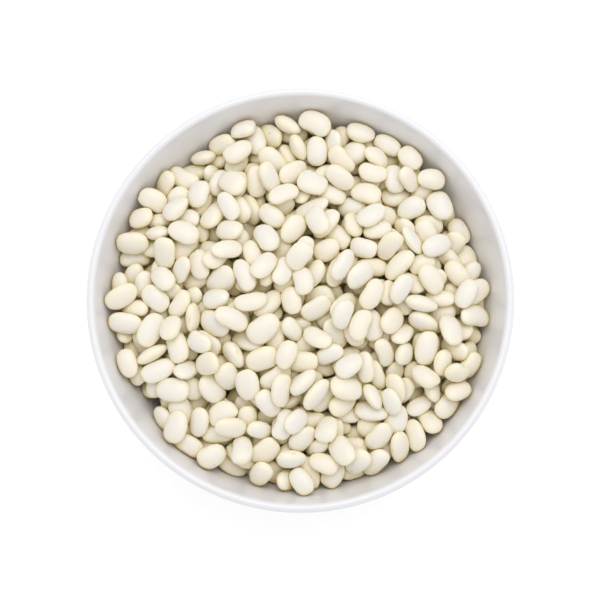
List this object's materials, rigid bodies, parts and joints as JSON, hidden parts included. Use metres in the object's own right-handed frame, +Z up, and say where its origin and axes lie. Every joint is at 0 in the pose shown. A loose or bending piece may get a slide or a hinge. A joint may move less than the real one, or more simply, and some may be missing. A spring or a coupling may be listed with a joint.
{
  "type": "bowl of dried beans",
  "caption": "Round white glazed bowl on a foot ring, filled with a low heap of dried white beans up to just below its rounded lip.",
  "frame": {"origin": "centre of the bowl's foot ring, on the surface that it stands on", "axes": "+Z up along the bowl's axis, out of its mouth; +X to the right and +Y away in a view from above"},
  "size_m": [0.156, 0.156, 0.0683],
  "materials": {
    "white_glaze": "smooth glossy white glaze",
    "dried_beans": "satin ivory-white seed coats, creamier at their ends and edges"
  },
  "bodies": {
    "root": {"bowl": "white_glaze", "bean_heap": "dried_beans"}
  },
  "joints": []
}
